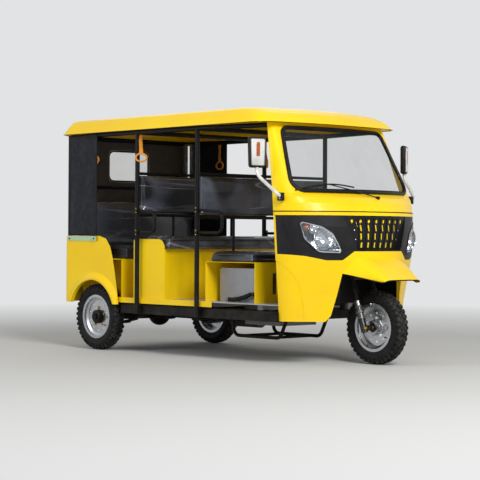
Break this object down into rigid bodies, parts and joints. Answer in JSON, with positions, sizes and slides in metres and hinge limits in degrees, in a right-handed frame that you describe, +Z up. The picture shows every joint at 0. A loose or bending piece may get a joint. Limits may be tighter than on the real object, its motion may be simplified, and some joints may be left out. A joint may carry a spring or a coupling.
{
  "type": "auto rickshaw",
  "caption": "Three-wheeled passenger rickshaw with an open-sided cab, bench seats, full roof, vinyl rear curtains and one steered front wheel.",
  "frame": {"origin": "on the ground, under the middle of the overall length and width", "axes": "+X forward, +Y to the left, +Z up"},
  "size_m": [3.038, 1.6218, 1.788],
  "materials": {
    "yellow_paint": "gloss",
    "black_paint": "satin",
    "black_plastic": "satin",
    "headlamp_shell": "polished",
    "clear_lens": "clear",
    "amber_lens": "gloss",
    "red_lens": "gloss",
    "screen_glass": "clear",
    "clear_vinyl": "clear",
    "seal_rubber": "satin",
    "black_vinyl": "satin",
    "curtain_vinyl": "satin",
    "strap_webbing": "matte",
    "engine_metal": "cast",
    "radiator_metal": "satin",
    "exhaust_metal": "satin",
    "fork_metal": "satin",
    "tyre_rubber": "matte",
    "chrome_rim": "polished",
    "silver_rim": "satin"
  },
  "bodies": {
    "vehicle_body": {"beak": "yellow_paint", "cab_front": "yellow_paint", "chassis_frame": "black_paint", "dashboard": "black_plastic", "driver_backrest": "black_vinyl", "driver_cushion": "black_vinyl", "driver_seat_base": "yellow_paint", "engine_block": "engine_metal", "exhaust": "exhaust_metal", "floor_pan": "yellow_paint", "front_bulkhead": "yellow_paint", "front_indicators": "amber_lens", "front_mask": "black_plastic", "grab_handles": "black_plastic", "grille": "black_plastic", "hand_straps": "strap_webbing", "headlamp_lenses": "clear_lens", "headlamps": "headlamp_shell", "leaf_springs": "black_paint", "middle_backrest": "black_vinyl", "middle_bench": "yellow_paint", "middle_cushion": "black_vinyl", "mirrors": "black_plastic", "propeller_shaft": "black_paint", "radiator": "radiator_metal", "radiator_hose": "seal_rubber", "rear_axle": "black_paint", "rear_backrest": "black_vinyl", "rear_body": "yellow_paint", "rear_curtain": "curtain_vinyl", "rear_cushion": "black_vinyl", "rear_seat_base": "yellow_paint", "rear_window": "clear_vinyl", "roof": "yellow_paint", "side_curtains": "curtain_vinyl", "side_sills": "yellow_paint", "skid_bar": "black_paint", "tail_lamps": "red_lens", "upper_frame": "black_paint", "windscreen_glass": "screen_glass", "windscreen_seal": "seal_rubber", "wiper": "black_paint"},
    "front_wheel": {"front_tyre": "tyre_rubber", "front_rim": "chrome_rim"},
    "rear_wheel_right": {"rear_right_tyre": "tyre_rubber", "rear_right_rim": "silver_rim"},
    "rear_wheel_left": {"rear_left_tyre": "tyre_rubber", "rear_left_rim": "silver_rim"},
    "fork_assembly": {"fork": "fork_metal", "handlebar": "fork_metal"}
  },
  "joints": [
    {"name": "steering", "type": "hinge", "parent": "vehicle_body", "child": "fork_assembly", "pos_m": [1.228, 0, 0.255], "axis": [-0.3256, 0, 0.9455], "range_deg": [-38, 38]},
    {"name": "front_wheel_spin", "type": "hinge", "parent": "fork_assembly", "child": "front_wheel", "pos_m": [1.264, 0, 0.255], "axis": [0, 1, 0], "continuous": true},
    {"name": "rear_wheel_right_spin", "type": "hinge", "parent": "vehicle_body", "child": "rear_wheel_right", "pos_m": [-1.087, -0.5935, 0.255], "axis": [0, 1, 0], "continuous": true},
    {"name": "rear_wheel_left_spin", "type": "hinge", "parent": "vehicle_body", "child": "rear_wheel_left", "pos_m": [-1.087, 0.5935, 0.255], "axis": [0, 1, 0], "continuous": true}
  ]
}
